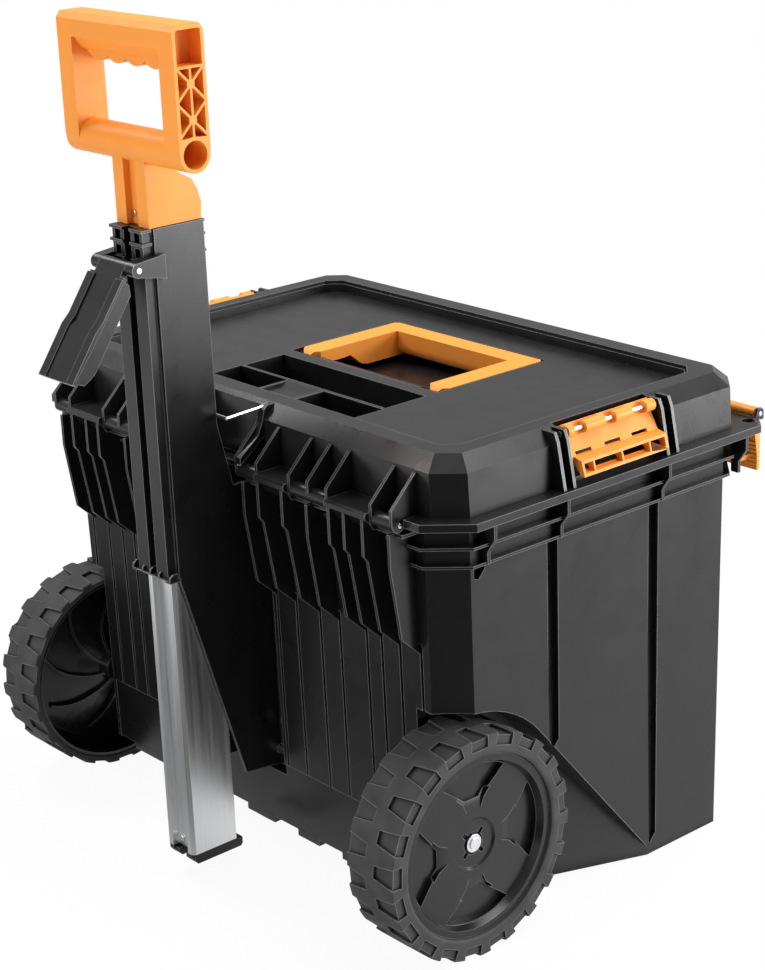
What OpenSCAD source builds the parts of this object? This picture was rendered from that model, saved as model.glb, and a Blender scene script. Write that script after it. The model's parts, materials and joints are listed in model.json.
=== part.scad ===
// Rolling modular toolbox: a drafted tub with a hinged stacking lid, two wheels on one
// axle and a telescopic trolley handle that slides in a guide sleeve behind the tub.
// Millimetres. +X runs along the axle, +Y points to the latch side, +Z is up.
// The origin is on the floor, below the middle of the box.

/* [Tub] */
// Length of the tub at its rim
tub_l = 544; // [520:1:560]
// Depth of the tub at its rim, front to back
tub_d = 352; // [340:1:356]
// Height of the rim, where lid and tub meet
rim_z = 375.5; // [360:0.5:390]
// Draft angle of the tub walls
draft = 0.65; // [0.2:0.05:1]
// Corner chamfer of the tub
tub_corner = 25; // [18:1:30]
// Wall thickness of the tub and the lid
wall = 3; // [2.5:0.1:3.5]
// Depth of the vertical channels in the end walls
channel_depth = 4; // [2:0.5:5]
// Width of the vertical channels in the end walls
channel_w = 12; // [8:1:14]
// Height of the underside behind the front foot, above the floor
rear_lift = 32; // [28:1:36]
// Height of the feet below the raised underside
foot_h = 6; // [4:1:8]
// Height of the lower bead round the rim
ledge_z = 339.5; // [330:0.5:345]
// Height of the upper bead round the rim
bead_z = 356.5; // [352:0.5:360]
// Reach of the rim brackets out of the tub wall
bracket_out = 15; // [10:0.5:15]

/* [Fins] */
// Reach of the rear fins out of the rear wall, at their top
fin_out = 31; // [28:1:31]
// Thickness of the rear fins
fin_t = 3; // [2:0.5:4]
// Height at which the fins run out into the wall
fin_foot_z = 258; // [240:1:275]

/* [Lid] */
// Reach of the lid flange beyond the tub at the two ends
flange_side = 20.5; // [20:0.5:24]
// Reach of the lid flange beyond the tub in front and behind
flange_front = 17.5; // [17:0.5:20]
// Thickness of the lid flange
flange_t = 7; // [5:0.5:9]
// Overall height of the lid above the tub rim
lid_h = 55.5; // [50:0.5:60]
// Inset of the lid wall from the flange edge at the ends
lid_wall_in = 14.8; // [12:0.2:18]
// Width of the sloped band between lid wall and lid rim
lid_bevel = 13; // [8:0.5:16]
// Height of the sloped band
lid_bevel_h = 12.2; // [8:0.2:16]
// Width of the raised rim on top of the lid
lid_rim_w = 19; // [14:1:24]
// Depth of the stacking recess inside the raised rim
recess_depth = 11; // [8:0.5:13]
// Depth of the three small trays below the recess floor
tray_depth = 26; // [15:1:30]

/* [Lid handle] */
// Distance of the handle's axis behind the middle of the lid
handle_back = 14; // [12:1:18]
// Overall width of the lid handle
handle_w = 200; // [180:2:210]
// Length of the handle arms from pivot to outer edge of the grip
handle_reach = 116; // [104:1:118]
// Width of the handle arms
arm_w = 24; // [18:1:26]
// Thickness of the handle arms at their pivots
arm_t = 12; // [9:1:13]
// Depth of the grip bar, top to bottom
grip_bar_t = 24; // [20:1:26]
// Depth of the handle recess below the lid's recess floor
handle_pit = 30; // [28:1:34]

/* [Hinge] */
// Distance of the hinge axis behind the tub's rear wall
hinge_out = 21; // [19.5:0.5:22]
// Height of the hinge axis above the rim plane
hinge_rise = 2.5; // [1.5:0.5:3.5]
// Diameter of the hinge pins
hinge_pin_d = 4; // [3:0.5:5]
// Outside diameter of the hinge knuckles
knuckle_d = 13; // [11:0.5:13.5]

/* [Latches] */
// Width of the latches on the two ends
end_latch_w = 102.5; // [96:0.5:104]
// Width of the latches on the front
front_latch_w = 84; // [70:2:86]
// Distance of the front latches' middle from the ends of the tub
front_latch_in = 42; // [41:1:50]
// Diameter of the latch pins
latch_pin_d = 4; // [3:0.5:5]

/* [Wheels] */
// Outside diameter of the tyres
wheel_d = 198.4; // [190:0.4:204]
// Width of the tyres
tyre_w = 56; // [52:1:56]
// Distance of the wheel's inner face inside the ends of the tub
wheel_in = 39; // [36:0.5:40]
// Distance of the axle in front of the tub's rear wall
axle_in = 14.5; // [12:0.5:18]
// Diameter of the axle
axle_d = 10; // [8:0.5:12]
// Diameter of the wheel disc, where the tyre sits on it
disc_d = 160; // [150:1:164]
// Tread pockets in each of the two rows
tread_count = 21; // [15:1:24]
// Depth of the tread pockets
tread_depth = 3; // [2:0.5:4]

/* [Trolley] */
// Width of the aluminium profile
profile_w = 39.4; // [36:0.2:40]
// Depth of the aluminium profile, front to back
profile_d = 48; // [44:0.5:49]
// Wall thickness of the aluminium profile
profile_t = 2; // [1.5:0.1:3]
// Distance of the profile's rear face behind the tub's rear wall
profile_out = 87; // [85:0.5:90]
// Height of the profile's lower end when pushed in
profile_z = 26.5; // [24:0.5:34]
// Width of the guide sleeve
sleeve_w = 48; // [48:0.5:54]
// Height of the lower end of the guide sleeve
sleeve_z = 291; // [280:1:300]
// Height of the top of the guide sleeve
sleeve_top = 594.5; // [580:0.5:610]
// Overall width of the trolley grip
grip_w = 160; // [150:2:180]
// Overall height of the trolley grip
grip_h = 116; // [110:1:124]
// Thickness of the trolley grip, front to back
grip_t = 30; // [29:0.5:32]
// Height of the grip's top above the guide sleeve, when pushed in
grip_rise = 167.5; // [162:0.5:180]
// Wall thickness of the grip's end pockets
grip_wall = 3; // [2:0.5:4]

/* [Flap] */
// Distance of the flap's pin below the top of the guide sleeve
flap_drop = 29.5; // [24:0.5:36]
// Distance of the flap's pin behind the profile's rear face
flap_out = 17; // [16:0.5:20]
// Angle at which the flap hangs out of the vertical
flap_lean = 35; // [25:1:45]
// Length of the flap from its pin to its lower edge
flap_l = 106; // [90:1:115]
// Width of the flap plate
flap_w = 48; // [40:1:52]

/* [Fits] */
// Radial clearance of pins that turn in their bores
pin_gap = 0.1; // [0.05:0.01:0.1]
// Clearance between pieces that slide or swing past each other
slide_gap = 0.4; // [0.3:0.05:0.5]

/* [Hidden] */

$fn = 48;
BLACK = [0.13, 0.13, 0.14];
RUBBER = [0.2, 0.2, 0.21];
ORANGE = [0.96, 0.56, 0.14];
ALU = [0.72, 0.73, 0.74];
STEEL = [0.85, 0.86, 0.87];

// A length past any solid, for cuts that run right through
far = 500;
// A small overrun, so that cuts never share a face with the solid
eps = 0.5;

flange_l = tub_l + 2 * flange_side;
flange_d = tub_d + 2 * flange_front;
wheel_x = tub_l / 2 - wheel_in;
axle_back = tub_d / 2 - axle_in;
profile_back = tub_d / 2 + profile_out;
flap_back = profile_back + flap_out;
hinge_back = tub_d / 2 + hinge_out;
front_latch_x = tub_l / 2 - front_latch_in;
grip_top = sleeve_top + grip_rise;
flap_z = sleeve_top - flap_drop;
lid_top = rim_z + lid_h;
floor_z = lid_top - recess_depth;
flange_top = rim_z + flange_t;
bevel_z = lid_top - lid_bevel_h;
lid_hx = flange_l / 2 - lid_wall_in;
lid_hy = tub_d / 2;
rim_hx = lid_hx - lid_bevel - 2;
rim_hy = lid_hy - lid_bevel;
axle_z = wheel_d / 2;
hinge_y = -hinge_back;
hinge_z = rim_z + hinge_rise;

// Octagonal outline with half sizes hx and hy; the corners behind and in front are cut
// by chamfers of their own
function octagon(hx, hy, cut_back, cut_front) = [
    [hx, -hy + cut_back], [hx, hy - cut_front], [hx - cut_front, hy],
    [-hx + cut_front, hy], [-hx, hy - cut_front], [-hx, -hy + cut_back],
    [-hx + cut_back, -hy], [hx - cut_back, -hy]];

// Solid through level outlines of equal point count, each given as [height, outline]
module loft(levels) {
    n = len(levels[0][1]);
    top = len(levels) - 1;
    points = [for (l = levels) for (p = l[1]) [p[0], p[1], l[0]]];
    sides = [for (k = [0:top - 1]) for (i = [0:n - 1])
        [k * n + i, (k + 1) * n + i, (k + 1) * n + (i + 1) % n, k * n + (i + 1) % n]];
    polyhedron(points, concat([[for (i = [0:n - 1]) i]], sides,
        [[for (i = [n - 1:-1:0]) top * n + i]]));
}

// Extrudes an outline drawn in (y, z) along X
module along_x(x0, x1) {
    translate([x0, 0, 0]) rotate([90, 0, 90]) linear_extrude(x1 - x0) children();
}

// Extrudes an outline drawn in (x, z) along Y
module along_y(y0, y1) {
    translate([0, y1, 0]) rotate([90, 0, 0]) linear_extrude(y1 - y0) children();
}

// Box between two opposite corners
module block(a, b) {
    translate(a) cube(b - a);
}

// Round bar along X at a place in (y, z)
module bar_x(x0, x1, y, z, d) {
    translate([x0, y, z]) rotate([0, 90, 0]) cylinder(d = d, h = x1 - x0);
}

module both_sides() {
    children();
    mirror([1, 0, 0]) children();
}

// Tub

// Half size of the drafted tub wall at a height, from its half size at the rim
function drafted(half, z) = half - (rim_z - z) * tan(draft);
function tub_outline(z, inset) = octagon(drafted(tub_l / 2, z) - inset,
    drafted(tub_d / 2, z) - inset, tub_corner - inset * 0.6, tub_corner - inset * 0.6);

// The rear wall is thicker, because grooves and a step are cut into it
rear_extra = 2;
// Wheel well: radius of its arch, place of its inner wall, and where that wall turns
// outwards, by this angle, to run out at the front foot
well_r = wheel_d / 2 + 11.3;
well_x = wheel_x - 6;
well_turn_y = 114.5 - axle_back;
well_turn = 21.4;
well_arch_angle = 39.6;
// Front end of the raised underside, on the floor and at full height
lift_y0 = 133.5 - axle_back;
lift_y1 = lift_y0 - 42;
// Recess in the rear wall that takes the bracket of the guide sleeve
dock_hx = sleeve_w / 2 + 18;
dock_y = 18 - tub_d / 2;
dock_z0 = 82;
dock_z1 = rim_z - 13.5;
// Step at the lower edge of the rear panels
step_z = 93;
step_hx = well_x - 4;

module wheel_well(grow) {
    r = well_r + grow;
    tangent = [-axle_back + r * cos(well_arch_angle), axle_z + r * sin(well_arch_angle)];
    run = (tangent[1] + 20) / cos(well_arch_angle);
    foot = tangent + run * [sin(well_arch_angle), -cos(well_arch_angle)];
    inner = well_x - grow;
    turn_y = well_turn_y + grow * tan(well_turn / 2);
    both_sides() intersection() {
        along_x(inner - 1, far) {
            translate([-axle_back, axle_z]) circle(r = r, $fn = 96);
            polygon([tangent, foot, [-far, -20], [-far, axle_z], [-axle_back, axle_z]]);
        }
        translate([0, 0, -20]) linear_extrude(rim_z)
            polygon([[inner, -far], [inner, turn_y],
                [inner + far * tan(well_turn), turn_y + far], [far, -far]]);
    }
}

module under_cut(grow) {
    along_x(-far, far) polygon([[-far, -20], [lift_y0 + grow, -20], [lift_y0 + grow, grow],
        [lift_y1 + grow, rear_lift + grow], [-far, rear_lift + grow]]);
}

module dock(grow) {
    block([-dock_hx - grow, -far, dock_z0 - grow], [dock_hx + grow, dock_y + grow, dock_z1]);
}

// Vertical channels of the end walls: place of the sharp edge and of the lower tip
channels = [[41 - tub_d / 2, 325], [-53, 146], [68, 11], [tub_d / 2 - 10, 322]];

module end_channel(y, tip_z, grow) {
    hx = tub_l / 2;
    both_sides() intersection() {
        translate([0, 0, -20]) linear_extrude(ledge_z + 20)
            polygon([[hx + 10, y + grow], [hx - 3.5 - channel_depth - grow, y + grow],
                [hx - 3.5 - channel_depth - grow, y - 3 - grow / 2],
                [hx - 3.5 + 1.5, y - channel_w - grow], [hx + 10, y - channel_w - grow]]);
        along_x(0, far) polygon([[y + grow, ledge_z + 1], [y - channel_w - grow, ledge_z + 1],
            [y - channel_w - grow, tip_z + 2], [y - channel_w * 0.6, tip_z - grow],
            [y + grow, tip_z + 8]]);
    }
}

// Ring round the tub wall between two heights
module tub_ring(z0, z1, out) {
    difference() {
        translate([0, 0, z0]) linear_extrude(z1 - z0)
            polygon(octagon(drafted(tub_l / 2, z0) + out, drafted(tub_d / 2, z0) + out,
                tub_corner + out * 0.6, tub_corner + out * 0.6));
        translate([0, 0, z0 - 1]) linear_extrude(z1 - z0 + 2)
            polygon(tub_outline(z0, 1));
    }
}

// Bracket under the flange, drawn as (reach out of the wall, height)
module rim_bracket() {
    polygon([[-2, ledge_z - 1], [6.5, ledge_z - 1], [6.5, ledge_z + 9.5],
        [bracket_out, ledge_z + 21.5], [bracket_out, rim_z], [-2, rim_z]]);
}

bracket_t = 3;
front_brackets = [60, 118, 172];

module rim_brackets() {
    for (c = channels) both_sides()
        along_y(c[0] - bracket_t, c[0]) translate([tub_l / 2, 0]) rim_bracket();
    for (x = front_brackets) both_sides()
        along_x(x - bracket_t / 2, x + bracket_t / 2)
            translate([tub_d / 2, 0]) rim_bracket();
}

// Rear fins: middle of each in x; those with a jog step inwards below the beads
fins = [[45, false], [72, true], [104, true], [130, false], [165, true], [184, true],
    [207, true], [233, false]];
fin_top_z = rim_z - 6;
// Plate that joins the fins below the hinge
fin_plate_y = -tub_d / 2 - 19;
fin_plate_hx = 242;

module fin(x, jog) {
    wall_y = -tub_d / 2;
    step = jog ? 4 : 0;
    tip_y = wall_y - fin_out + (jog ? 0 : 5);
    top_z = jog ? hinge_z : fin_top_z;
    both_sides() along_x(x - fin_t / 2, x + fin_t / 2)
        polygon([[wall_y + 6, fin_top_z], [hinge_y, top_z], [tip_y, top_z],
            [tip_y, ledge_z + 6], [tip_y + step, ledge_z + 1],
            [wall_y - 17, fin_foot_z + 19], [wall_y + 3, fin_foot_z],
            [wall_y + 6, fin_foot_z]]);
}

// The grooves between the rear panels, below the fins
groove_depth = 1.8;

module rear_grooves() {
    for (f = fins) both_sides()
        block([f[0] + fin_t / 2, -far, step_z],
            [f[0] + fin_t / 2 + 3, -drafted(tub_d / 2, 200) + groove_depth, fin_foot_z + 10]);
    block([-step_hx, -far, -1], [step_hx, -drafted(tub_d / 2, step_z) + groove_depth, step_z]);
}

// Hinge segments along X: first and last x, and whether the lid carries them
segments = [[38, 68.5, true], [69, 108.5, false], [109, 160.5, true],
    [161, 212, false], [212.5, 240, true]];

module knuckle(x0, x1, grow) {
    bar_x(x0, x1, hinge_y, hinge_z, knuckle_d + 2 * grow);
}

module tub_knuckles() {
    inner_y = -tub_d / 2 - 2;
    for (s = segments) if (!s[2]) both_sides()
        along_x(s[0], s[1]) polygon([[hinge_y - 11, hinge_z], [hinge_y - 11, hinge_z + 3.5],
            [hinge_y - 9, hinge_z + 5.5], [inner_y, hinge_z + 5.5], [inner_y, rim_z - 2],
            [-tub_d / 2 + 2, rim_z - 4], [-tub_d / 2 + 2, fin_top_z - 2],
            [hinge_y - 2, fin_top_z - 2], [hinge_y - 6, hinge_z - 4]]);
}

module tub_feet() {
    for (x = [[-20, 20], [54, 84], [116, 200]]) both_sides()
        block([x[0], -drafted(tub_d / 2, 0) + 0.5, rear_lift - foot_h],
            [x[1], lift_y1 - 14, rear_lift + 1]);
}

// Catch bars on the front wall that the front latches hook under
module front_catches() {
    both_sides() block([front_latch_x - front_latch_w / 2 + 6, tub_d / 2 - 2, ledge_z + 6],
        [tub_l / 2 - tub_corner + 3, tub_d / 2 + catch_out, ledge_z + 12]);
}
catch_out = 13;

module tub() {
    color(BLACK) difference() {
        union() {
            difference() {
                union() {
                    difference() {
                        loft([[0, tub_outline(0, 0)], [rim_z, tub_outline(rim_z, 0)]]);
                        under_cut(0);
                        rear_grooves();
                        for (c = channels) end_channel(c[0], c[1], 0);
                    }
                    tub_feet();
                    tub_ring(ledge_z - 1.2, ledge_z + 1.2, 6);
                    tub_ring(bead_z - 1.2, bead_z + 1.2, 9);
                    tub_ring(rim_z - 4.5, rim_z, 7);
                    rim_brackets();
                    front_catches();
                    for (f = fins) fin(f[0], f[1]);
                    both_sides() block([dock_hx, fin_plate_y, fin_top_z - 3],
                        [fin_plate_hx, -tub_d / 2 + 2, fin_top_z]);
                    tub_knuckles();
                }
                wheel_well(0);
                dock(0);
            }
            both_sides() bar_x(dock_hx, well_x, -axle_back, axle_z, axle_d + 9);
        }
        tub_cavity();
        bar_x(-far, far, -axle_back, axle_z, axle_d + 2 * pin_gap);
        for (s = segments) if (s[2]) both_sides() {
            knuckle(s[0] - slide_gap, s[1] + slide_gap, slide_gap + 1);
            block([s[0] - slide_gap, -far, hinge_z - knuckle_d / 2 - 1],
                [s[1] + slide_gap, hinge_y, hinge_z + knuckle_d]);
        }
        both_sides() bar_x(segments[0][0] - 4, hinge_pin_end + 2, hinge_y, hinge_z,
            hinge_pin_d + 2 * pin_gap);
    }
}

// Inside of the tub, kept a wall's thickness from everything that is cut into its outside
module tub_cavity() {
    difference() {
        loft([[wall, tub_outline(wall, wall)], [rim_z + 1, tub_outline(rim_z + 1, wall)]]);
        block([-far, -far, -1], [far, -tub_d / 2 + wall + rear_extra + 3, rim_z - 6]);
        under_cut(wall);
        wheel_well(wall);
        dock(wall);
        for (c = channels) end_channel(c[0], c[1], wall);
        bar_x(-far, far, -axle_back, axle_z, axle_d + 9);
    }
}

// Lid

handle_y = -handle_back;
handle_pin_z = floor_z - arm_t / 2;
// Handle pit in the lid, with a ramp in its floor between the arms
pit_gap = 1.5;
pit_hx = handle_w / 2 + pit_gap;
pit_y0 = handle_y - 14;
pit_y1 = handle_y + handle_reach + pit_gap;
ramp_hx = handle_w / 2 - arm_w - 2;
// Trays in the lid's recess floor, as [x0, y0, x1, y1]
tray_y0 = -rim_hy + lid_rim_w;
trays = [[-96, tray_y0, -28, pit_y0 - 63], [-95, pit_y0 - 60, 102, pit_y0 - 14],
    [24, tray_y0, 103, pit_y0 - 64]];
// Pockets of the end latches in the lid wall
latch_pocket_y0 = -48;
latch_pocket_y1 = latch_pocket_y0 + end_latch_w + 6;
latch_pocket_z = flange_top + 3.5;
latch_pocket_in = 18;
end_latch_y0 = latch_pocket_y0 + 3;
end_latch_pin_z = lid_top - 5.5;
end_latch_pin_x = lid_hx - 4;
// How far the latch plates of the lid stand out of its end walls, at their foot
cheek_out = 11.5;
// Notch in the rear wall of the lid, beside the guide sleeve
notch_hx = 36;
notch_y = -lid_hy + 9;
notch_z = lid_top - 3;
front_pin_z = flange_top + 2.5;
front_pin_y = flange_d / 2 + 1;

module lid_outer() {
    loft([[rim_z, octagon(lid_hx, lid_hy, 21.6, 21.6)],
        [bevel_z, octagon(lid_hx - 2, lid_hy, 21.6, 21.6)],
        [lid_top, octagon(rim_hx, rim_hy, 15.3, 15.3)]]);
}

module lid_cavity() {
    difference() {
        loft([[rim_z - 1, octagon(lid_hx - wall, lid_hy - wall, 20, 20)],
            [bevel_z - 2, octagon(lid_hx - 2 - wall, lid_hy - wall, 20, 20)],
            [floor_z - wall, octagon(rim_hx + 3, rim_hy + 3, 16, 16)]]);
        for (t = trays) block([t[0] - wall, t[1] - wall, floor_z - tray_depth - wall],
            [t[2] + wall, t[3] + wall, lid_top]);
        lid_pit(wall);
        block([trays[0][2], -lid_hy, floor_z - ramp_depth - wall],
            [trays[2][0], trays[2][3] + 10, lid_top]);
        latch_pockets(wall);
        lid_notch(wall);
    }
}

module lid_notch(grow) {
    block([-notch_hx - grow, -far, rim_z - 1], [notch_hx + grow, notch_y + grow, notch_z + grow]);
}

// Shallow ramp between the two small trays, which lets a finger reach into them
ramp_depth = 3;

module tray_ramp() {
    y0 = trays[0][1];
    y1 = trays[2][3];
    along_x(trays[0][2] + 3, trays[2][0] - 3) polygon([[y0, floor_z + 1],
        [y0, floor_z - ramp_depth], [y1 - 12, floor_z - ramp_depth], [y1, floor_z + 1]]);
}

module latch_pockets(grow) {
    both_sides() block([lid_hx - latch_pocket_in - grow, latch_pocket_y0 - grow,
        latch_pocket_z - grow], [far, latch_pocket_y1 + grow, far]);
}

// Cheek plates on either side of each end latch
module latch_cheeks() {
    y0 = latch_pocket_y0;
    y1 = latch_pocket_y1;
    for (y = [y0 - 14, y0 - 3, y1, y1 + 11.5])
        both_sides() along_y(y, y + 3) polygon([[lid_hx - 20, rim_z],
            [lid_hx + cheek_out, rim_z], [lid_hx + cheek_out, flange_top],
            [lid_hx + cheek_out - 7.5, floor_z + 2], [lid_hx + 0.5, lid_top - 1],
            [lid_hx - 20, lid_top - 1]]);
}

module lid_ribs() {
    for (s = segments) if (s[2]) both_sides() {
        for (x = [s[0], s[1] - fin_t]) lid_rib(x);
        knuckle(s[0], s[1], 0);
        block([s[0], hinge_y, rim_z], [s[1], -lid_hy + 1, rim_z + 3]);
    }
    both_sides() {
        lid_rib((segments[2][0] + segments[2][1]) / 2 - fin_t / 2);
        along_x(segments[0][0], segments[0][0] + wire_lug_t) polygon([
            [-rim_hy + 1, bevel_z - 4], [-rim_hy + 1, lug_top], [-lid_hy + 4.5, lug_top],
            [-lid_hy + 0.8, lug_top - 3.5], [-lid_hy - 2, bevel_z - 2], [-lid_hy - 7, bevel_z - 13],
            [hinge_y - knuckle_d / 2, hinge_z + 13], [hinge_y - knuckle_d / 2, hinge_z + 6]]);
    }
}

// Lug on the innermost rib, which rises to the stacking rim and holds the wire hook
wire_lug_t = 8;
lug_top = lid_top - 0.5;
wire_d = 3.2;
wire_z = lid_top - 4.5;
wire_rise = 2.5;
wire_l = 34.5;
wire_y1 = -lid_hy - wire_l;
// Place of the wire hook's leg, and how deep it sits in the lug
wire_x = segments[0][0] + 2.5;
wire_root = 9;

// Leg of the wire hook, from its bend up to its end in the lug
module wire_leg(d, root) {
    translate([wire_x, wire_y1, wire_z]) rotate([-90 + wire_rise, 0, 0])
        cylinder(d = d, h = wire_l + root);
}

module lid_rib(x) {
    outer_y = hinge_y - knuckle_d / 2;
    along_x(x, x + fin_t) polygon([[-lid_hy + 2, bevel_z - 2], [-lid_hy - 1, bevel_z - 2],
        [outer_y, hinge_z + 13], [outer_y, hinge_z], [hinge_y, hinge_z],
        [hinge_y + 4, rim_z], [-lid_hy + 2, rim_z]]);
}

module lid() {
    color(BLACK) difference() {
        union() {
            difference() {
                union() {
                    lid_outer();
                    translate([0, 0, rim_z]) linear_extrude(flange_t)
                        polygon(octagon(flange_l / 2, flange_d / 2, 32.4, 17.2));
                    latch_cheeks();
                }
                lid_cavity();
                block([-fin_plate_hx, -far, rim_z - 1],
                    [fin_plate_hx, -lid_hy - 0.2, flange_top + 1]);
                front_latch_gaps();
            }
            lid_ribs();
            front_lugs();
        }
        translate([0, 0, floor_z]) linear_extrude(far)
            polygon(octagon(rim_hx - lid_rim_w, rim_hy - lid_rim_w, 12, 12));
        translate([0, 0, lid_top - 3]) linear_extrude(far)
            polygon(octagon(rim_hx - lid_rim_w + 2, rim_hy - lid_rim_w + 2, 13, 13));
        for (t = trays) block([t[0], t[1], floor_z - tray_depth], [t[2], t[3], far]);
        tray_ramp();
        lid_pit(0);
        latch_pockets(0);
        lid_notch(0);
        both_sides() bar_x(segments[0][0] - 4, hinge_pin_end + 2, hinge_y, hinge_z,
            hinge_pin_d + 2 * pin_gap);
        both_sides() bar_x(pit_hx - 12, pit_hx + 8, handle_y, handle_pin_z,
            latch_pin_d + 2 * pin_gap);
        both_sides() wire_leg(wire_d + 2 * pin_gap, wire_root);
        end_pin_bores();
        both_sides() bar_x(front_latch_x - front_latch_w / 2 - 7,
            front_latch_x + front_latch_w / 2 + 7, front_pin_y, front_pin_z,
            latch_pin_d + 2 * pin_gap);
        both_sides() translate([flange_l / 2 - 17, flange_d / 2 - 15, 0])
            cylinder(d = 12, h = far);
    }
}

module lid_pit(grow) {
    low = floor_z - handle_pit - grow;
    both_sides() block([ramp_hx - grow, pit_y0 - grow, low],
        [pit_hx + grow, pit_y1 + grow, far]);
    along_x(-ramp_hx, ramp_hx) polygon([[pit_y0 - grow, far], [pit_y0 - grow, floor_z - grow - 1],
        [pit_y0 - grow + 8, floor_z - grow - 2], [pit_y0 - grow + 16, floor_z - grow - 7],
        [pit_y0 - grow + 28, low + 5], [pit_y0 - grow + 40, low], [pit_y1 + grow, low],
        [pit_y1 + grow, far]]);
}

module end_pin_bores() {
    both_sides() translate([end_latch_pin_x, end_latch_y0 - 7, end_latch_pin_z])
        rotate([-90, 0, 0]) cylinder(d = latch_pin_d + 2 * pin_gap, h = end_latch_w + 14);
}

module front_lugs() {
    for (side = [-1, 1]) both_sides() {
        x = front_latch_x + side * (front_latch_w / 2 + 3);
        along_x(x - 1.5, x + 1.5) polygon([[flange_d / 2 - 7, flange_top - 3],
            [flange_d / 2 + 5, flange_top - 3], [flange_d / 2 + 5, front_pin_z + 3],
            [flange_d / 2 + 3, front_pin_z + 5], [flange_d / 2 - 2, front_pin_z + 5]]);
    }
}

// Gaps in the flange, in which the front latches sit
module front_latch_gaps() {
    both_sides() block([front_latch_x - front_latch_w / 2 - 1, flange_d / 2 - 5.5, rim_z - 1],
        [front_latch_x + front_latch_w / 2 + 1, far, flange_top + 1]);
}

// Lid handle

module lid_handle() {
    hx = handle_w / 2;
    y0 = handle_y - arm_t / 2;
    y1 = handle_y + handle_reach;
    bar_w = 21;
    low = floor_z - grip_bar_t;
    color(ORANGE) difference() {
        intersection() {
            union() {
                both_sides() along_x(hx - arm_w, hx) polygon([[y0 + 3, floor_z], [y1, floor_z],
                    [y1, low + 8], [y1 - 8, low], [y1 - 60, low], [y1 - 67, low + 2],
                    [y1 - 80, floor_z - arm_t + 1], [y1 - 88, floor_z - arm_t],
                    [y0 + 3, floor_z - arm_t], [y0, floor_z - arm_t + 3], [y0, floor_z - 3]]);
                block([-hx + 1, y1 - bar_w, floor_z - grip_bar_t / 2], [hx - 1, y1, floor_z]);
                bar_x(-hx + arm_w - 4, hx - arm_w + 4, y1 - bar_w / 2, low + bar_w / 2, bar_w);
            }
            translate([0, 0, low - 1]) linear_extrude(grip_bar_t + 2) handle_plan(hx, y0, y1);
        }
        both_sides() bar_x(hx - 10, hx + 1, handle_y, handle_pin_z,
            latch_pin_d + 2 * pin_gap);
    }
}

// Outline of the handle seen from above, with cut corners
module handle_plan(hx, y0, y1) {
    inner = hx - arm_w;
    polygon([[hx, y0 + 7], [hx, y1 - 3], [hx - 3, y1], [-hx + 3, y1], [-hx, y1 - 3],
        [-hx, y0 + 7], [-hx + 7, y0], [-inner - 7, y0], [-inner, y0 + 7], [-inner, y0 + 40],
        [inner, y0 + 40], [inner, y0 + 7], [inner + 7, y0], [hx - 7, y0]]);
}

module handle_pin() {
    color(STEEL) bar_x(handle_w / 2 - 9, pit_hx + 7, handle_y, handle_pin_z, latch_pin_d);
}

// Latches

module end_latch() {
    y0 = end_latch_y0;
    px = end_latch_pin_x;
    pz = end_latch_pin_z;
    share = end_latch_w / 102.5;
    color(ORANGE) difference() {
        union() {
            for (k = end_knuckles) translate([px, y0 + k[0] * share, pz]) rotate([-90, 0, 0])
                cylinder(d = 10.6, h = (k[1] - k[0]) * share);
            along_y(y0, y0 + end_latch_w) polygon([[px - 8, pz + 3.5], [px - 5, pz + 5],
                [px - 2.8, pz - 2], [px + 7, pz - 20], [px + 7, pz - 25], [px - 6, pz - 4]]);
            along_y(y0 + 2.5, y0 + end_latch_w) polygon([[px + 5.8, pz - 22],
                [px + 7, pz - 20], [px + 16, pz - 22], [px + 19.6, pz - 35],
                [px + 16, pz - 35], [px + 5.8, pz - 25]]);
        }
        translate([px, y0 - 1, pz]) rotate([-90, 0, 0])
            cylinder(d = latch_pin_d + 2 * pin_gap, h = end_latch_w + 2);
        for (k = end_pockets) translate([0, y0 + k[0] * share, 0])
            along_y(0, (k[1] - k[0]) * share) polygon([[px + 9, pz - 24.5],
                [px + 20, pz - 24.5], [px + 20, pz - 32.5], [px + 14, pz - 32.5],
                [px + 9, pz - 29]]);
        for (k = end_slots) translate([0, y0 + k[0] * share, 0])
            block([px - 5, 0, pz - 20], [px + 13, (k[1] - k[0]) * share, pz - 17]);
    }
}

// Knuckles, pockets of the grip bar and slots of the plate, measured along the end latch
end_knuckles = [[0, 7], [20, 43], [55, 75], [91.5, 102.5]];
end_pockets = [[5, 15], [17, 48], [50, 81], [83, 100]];
end_slots = [[6, 24], [40, 58], [72, 90]];

module end_latch_pin() {
    color(STEEL) translate([end_latch_pin_x, end_latch_y0 - 6, end_latch_pin_z])
        rotate([-90, 0, 0]) cylinder(d = latch_pin_d, h = end_latch_w + 12);
}

module front_latch() {
    x0 = front_latch_x - front_latch_w / 2;
    x1 = front_latch_x + front_latch_w / 2;
    y = front_pin_y;
    z = front_pin_z;
    hook_z = ledge_z + 6 - slide_gap;
    color(ORANGE) difference() {
        union() {
            bar_x(x0, x1, y, z, 10);
            along_x(x0, x1) polygon([[y - 2, z], [y + 5, z], [y + 5, hook_z - 14],
                [y + 1, hook_z - 14], [y + 1, hook_z], [y - 2, hook_z + 20]]);
            along_x(x0 + 8, x1 - 8) polygon([[y + 2, hook_z], [tub_d / 2 + 5, hook_z],
                [tub_d / 2 + 5, hook_z - 4], [y + 2, hook_z - 5]]);
        }
        bar_x(x0 - 1, x1 + 1, y, z, latch_pin_d + 2 * pin_gap);
    }
}

module front_latch_pin() {
    color(STEEL) bar_x(front_latch_x - front_latch_w / 2 - 4.5,
        front_latch_x + front_latch_w / 2 + 4.5, front_pin_y, front_pin_z, latch_pin_d);
}

// Hinge pins, axle and wheels

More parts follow.
